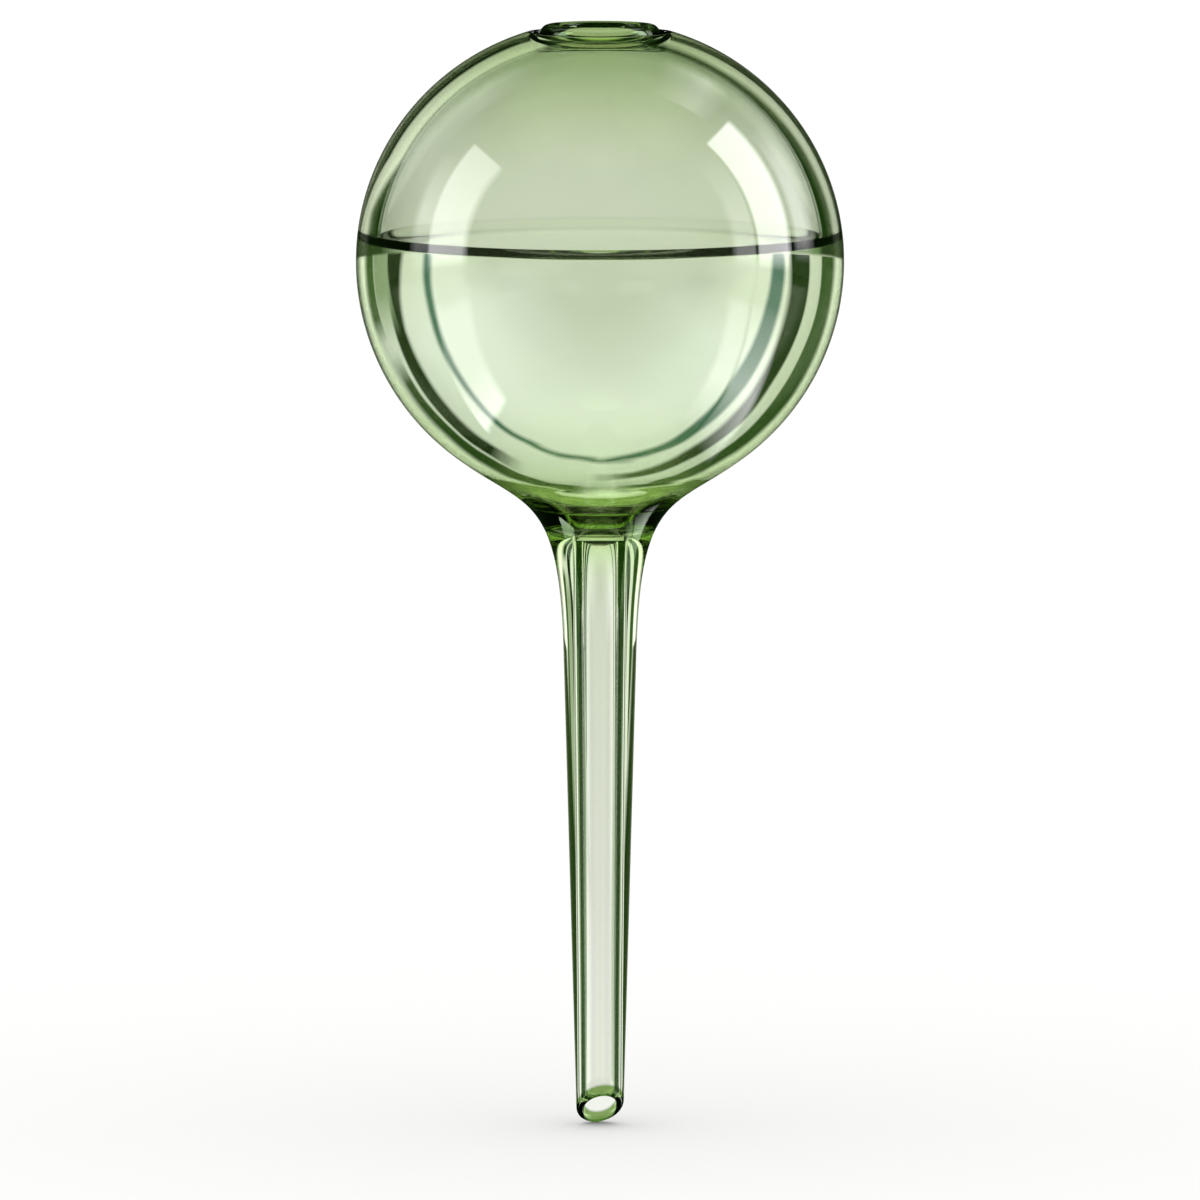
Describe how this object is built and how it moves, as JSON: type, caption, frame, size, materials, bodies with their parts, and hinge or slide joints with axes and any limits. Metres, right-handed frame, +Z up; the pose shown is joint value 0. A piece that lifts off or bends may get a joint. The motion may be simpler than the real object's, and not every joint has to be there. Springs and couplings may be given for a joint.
{
  "type": "watering globe",
  "caption": "Blown green glass bulb on a long hollow stem, filled through a lipped mouth in its crown; the stem is pushed into soil and doses water through its slanted tip.",
  "frame": {"origin": "on the axis of the bulb and stem, at the height of the lowest point of the slanted tip, which is also the bottom centre of the box", "axes": "+Z up along the stem, out of the filler mouth; the open slanted tip faces -Y, the front"},
  "size_m": [0.1, 0.1, 0.2271],
  "materials": {
    "green_glass": "polished, pale olive green, tinted through its thickness",
    "green_glass_lip": "fire-polished, pale olive green",
    "green_glass_stem": "polished, pale olive green",
    "water": "clear still water"
  },
  "bodies": {
    "root": {"bulb": "green_glass", "filler_collar": "green_glass_lip", "stem": "green_glass_stem", "water": "water"}
  },
  "joints": []
}
